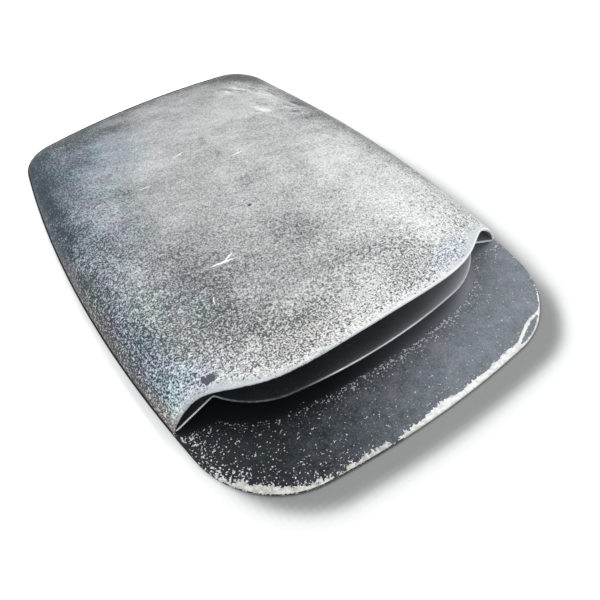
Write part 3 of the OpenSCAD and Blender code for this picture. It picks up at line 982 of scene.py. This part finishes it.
def paint_fields(data):
    """Puts the wear, with the painted shade, sheen and light, on the skin's points, where the shaders
    read it.
    """
    co = np.zeros(len(data.vertices) * 3)
    data.vertices.foreach_get("co", co)
    points = co.reshape(-1, 3) / MM
    x, y, z = points.T
    px, py = photo_place(points)
    mouth = np.zeros(len(x), np.float32)
    data.attributes["mouth"].data.foreach_get("value", mouth)
    ring = whole_outline(FINE_COUNTS)
    rim, number = nearest(ring, x, y)
    fields = {
        "rub_and_shade": hood_tone(x, y, rim, mouth, px, py),
        "grain": hood_grain(x, y, rim, mouth, px, py),
        "cool": np.clip(blobs(px, py, COOL), 0, 1.4),
        "warm": np.clip(blobs(px, py, WARM), 0, 1),
        "blot": blobs(px, py, BLOTS),
        "smear": blobs(px, py, SMEARS),
        "band": profile(x, BAND_MM) - mouth,
        "bareness": profile(x, BARENESS),
        "edge": profile(x, EDGE_RUB),
        "wrap": profile(x, WRAP_MM),
        "rub": profile(x, LIP_RUB),
        "chip": fade(np.abs(rim - 3), 6, 2) * profile(y, LEFT_CHIPS) * (x < 0),
        **filler_fields(place_along(ring, number), rim, z),
        **flange_fields(x, y, rim, px),
    }
    for name, values in fields.items():
        put_field(data, name, values)


def add_scoop():
    mesh = Mesh()
    hood_rows(mesh)
    lip_rows(mesh)
    flange_rows(mesh)
    materials = [
        top_material(),
        flange_material(),
        inside_material(),
        underside_material(),
        lip_edge_material(),
    ]
    data = mesh.build("scoop_skin", materials)
    paint_fields(data)
    scoop = bpy.data.objects.new("scoop_skin", data)
    bpy.context.scene.collection.objects.link(scoop)
    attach(scoop, "root")
    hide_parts("scoop_shell")


add_scoop()

# Stage

# The floor's grid lines, in millimetres from the middle, and its height.
FLOOR_FINE, FLOOR_FINE_COUNT = 420, 169
FLOOR_FAR = np.array([480, 600, 900, 1600, 3000, 6000])
FLOOR_Z = -0.2
# The floor is lit as it is up to this distance, and plain white to the eye from twice as far.
FLOOR_LIT = 450.0

# The shade is the outline, shifted. Along the rim, by millimetres from the middle of its front:
# how far the shade runs out, and how sharply it ends.
SHADE_SHIFT = (7.0, -29.0)
SHADE_EDGE = (
    *((140, 0, 1), (180, -1, 0.9), (220, 1.3, 0.6), (260, 7, 0.5), (300, 8.4, 0.58), (380, 8.4, 0.58)),
    *((420, 6.5, 0.66), (460, 4.4, 0.85), (500, 0.5, 0.67), (540, -2.5, 0.67), (600, -20, 1)),
)
SHADE_FADE = (
    *((-14, 1), (-10, 0.95), (-7, 0.845), (-4, 0.68), (-1, 0.51)),
    *((2, 0.41), (5, 0.35), (8, 0.325), (12, 0.30), (16, 0)),
)

WORLD_COLOUR, WORLD_STRENGTH = (0.95, 0.975, 1.0, 1), 0.5
LIGHT_DISTANCE = 1.8
# Each light is its name, azimuth and elevation in degrees, size in metres and power in watts.
LIGHTS = (("key", -25, 58, 1.1, 24), ("right", 76, 40, 1.0, 20), ("front", -150, 16, 1.0, 11))


def floor_shade(x, y):
    """Depth of the soft grey shade ahead of the scoop, the shadow that the photo shows."""
    ring = whole_outline(OUTLINE_COUNTS) + SHADE_SHIFT
    away, number = nearest(ring, x, y)
    inside = np.zeros(len(x), bool)
    for (ax, ay), (bx, by) in zip(ring, np.roll(ring, -1, 0)):
        crosses = (ay > y) != (by > y)
        if crosses.any():
            inside ^= crosses & (x < ax + (y - ay) * (bx - ax) / (by - ay))
    at, reach, sharpness = zip(*SHADE_EDGE)
    along = place_along(ring, number)
    out = np.where(inside, -away, away) - np.interp(along, at, reach)
    return profile(out * np.interp(along, at, sharpness), SHADE_FADE)


def floor_material():
    """White with the shade on it. Far off it is plain white to the eye, and clear from below."""
    n = Nodes("floor_white")
    n.surface(n.mix(n.field("shade"), *FLOOR_COLOURS), 0.95)
    n.shader.inputs["Specular IOR Level"].default_value = 0.0
    path = n.add("ShaderNodeLightPath")
    seen = n.math("MAXIMUM", path.outputs["Is Camera Ray"], path.outputs["Is Glossy Ray"])
    seen = n.math("MAXIMUM", seen, path.outputs["Is Transmission Ray"])
    white = n.add("ShaderNodeEmission")
    white.inputs["Strength"].default_value = 1.0
    clear = n.add("ShaderNodeBsdfTransparent")
    # Very short rays pass as well, so that light reaches the underside that lies on the floor.
    back = n.add("ShaderNodeNewGeometry").outputs["Backfacing"]
    back = n.math("MAXIMUM", back, n.math("LESS_THAN", path.outputs["Ray Length"], MM))
    shader = n.shader.outputs[0]
    for share, other in ((n.math("MULTIPLY", n.field("far_off"), seen), white), (back, clear)):
        pick = n.add("ShaderNodeMixShader")
        for socket, value in zip(pick.inputs, (share, shader, other.outputs[0])):
            n.plug(socket, value)
        shader = pick.outputs[0]
    n.plug(n.tree.nodes["Material Output"].inputs["Surface"], shader)
    return n.material


def add_floor():
    """White floor with a fine grid near the scoop and a coarse one far off."""
    fine = np.linspace(-FLOOR_FINE, FLOOR_FINE, FLOOR_FINE_COUNT)
    line = np.concatenate([-FLOOR_FAR[::-1], fine, FLOOR_FAR])
    x, y = (g.ravel() for g in np.meshgrid(line, line))
    at = np.arange(len(x)).reshape(len(line), len(line))
    quads = np.stack([at[:-1, :-1], at[:-1, 1:], at[1:, 1:], at[1:, :-1]], -1).reshape(-1, 4)
    data = bpy.data.meshes.new("floor")
    points = np.stack([x, y, np.full(len(x), FLOOR_Z)], -1) * MM
    data.from_pydata(points.tolist(), [], quads.tolist())
    put_field(data, "shade", floor_shade(x, y))
    put_field(data, "far_off", ramp(np.hypot(x, y), FLOOR_LIT, 2 * FLOOR_LIT))
    data.materials.append(floor_material())
    floor = bpy.data.objects.new("floor", data)
    bpy.context.scene.collection.objects.link(floor)


def add_world():
    """Soft light from all sides, and plain white where the camera sees past the floor."""
    world = bpy.data.worlds.new("studio")
    world.use_nodes = True
    bpy.context.scene.world = world
    tree = world.node_tree
    plain = tree.nodes["Background"]
    plain.inputs["Color"].default_value = WORLD_COLOUR
    plain.inputs["Strength"].default_value = WORLD_STRENGTH
    seen = tree.nodes.new("ShaderNodeBackground")
    seen.inputs["Color"].default_value = (1, 1, 1, 1)
    pick = tree.nodes.new("ShaderNodeMixShader")
    path = tree.nodes.new("ShaderNodeLightPath")
    tree.links.new(path.outputs["Is Camera Ray"], pick.inputs[0])
    tree.links.new(plain.outputs[0], pick.inputs[1])
    tree.links.new(seen.outputs[0], pick.inputs[2])
    tree.links.new(pick.outputs[0], tree.nodes["World Output"].inputs["Surface"])


def add_light(name, azimuth, elevation, size, power):
    """A square soft light. Azimuth 0 is over the rear edge and 90 to the right of the scoop."""
    a, e = math.radians(azimuth), math.radians(elevation)
    data = bpy.data.lights.new(name, "AREA")
    data.size, data.energy = size, power
    light = bpy.data.objects.new(name, data)
    bpy.context.scene.collection.objects.link(light)
    way = Vector((math.sin(a) * math.cos(e), math.cos(a) * math.cos(e), math.sin(e)))
    turn = way.to_track_quat("Z", "Y").to_matrix().to_4x4()
    light.matrix_world = Matrix.Translation(way * LIGHT_DISTANCE) @ turn


add_floor()
add_world()
for settings in LIGHTS:
    add_light(*settings)

bpy.context.scene.view_settings.view_transform = "Standard"
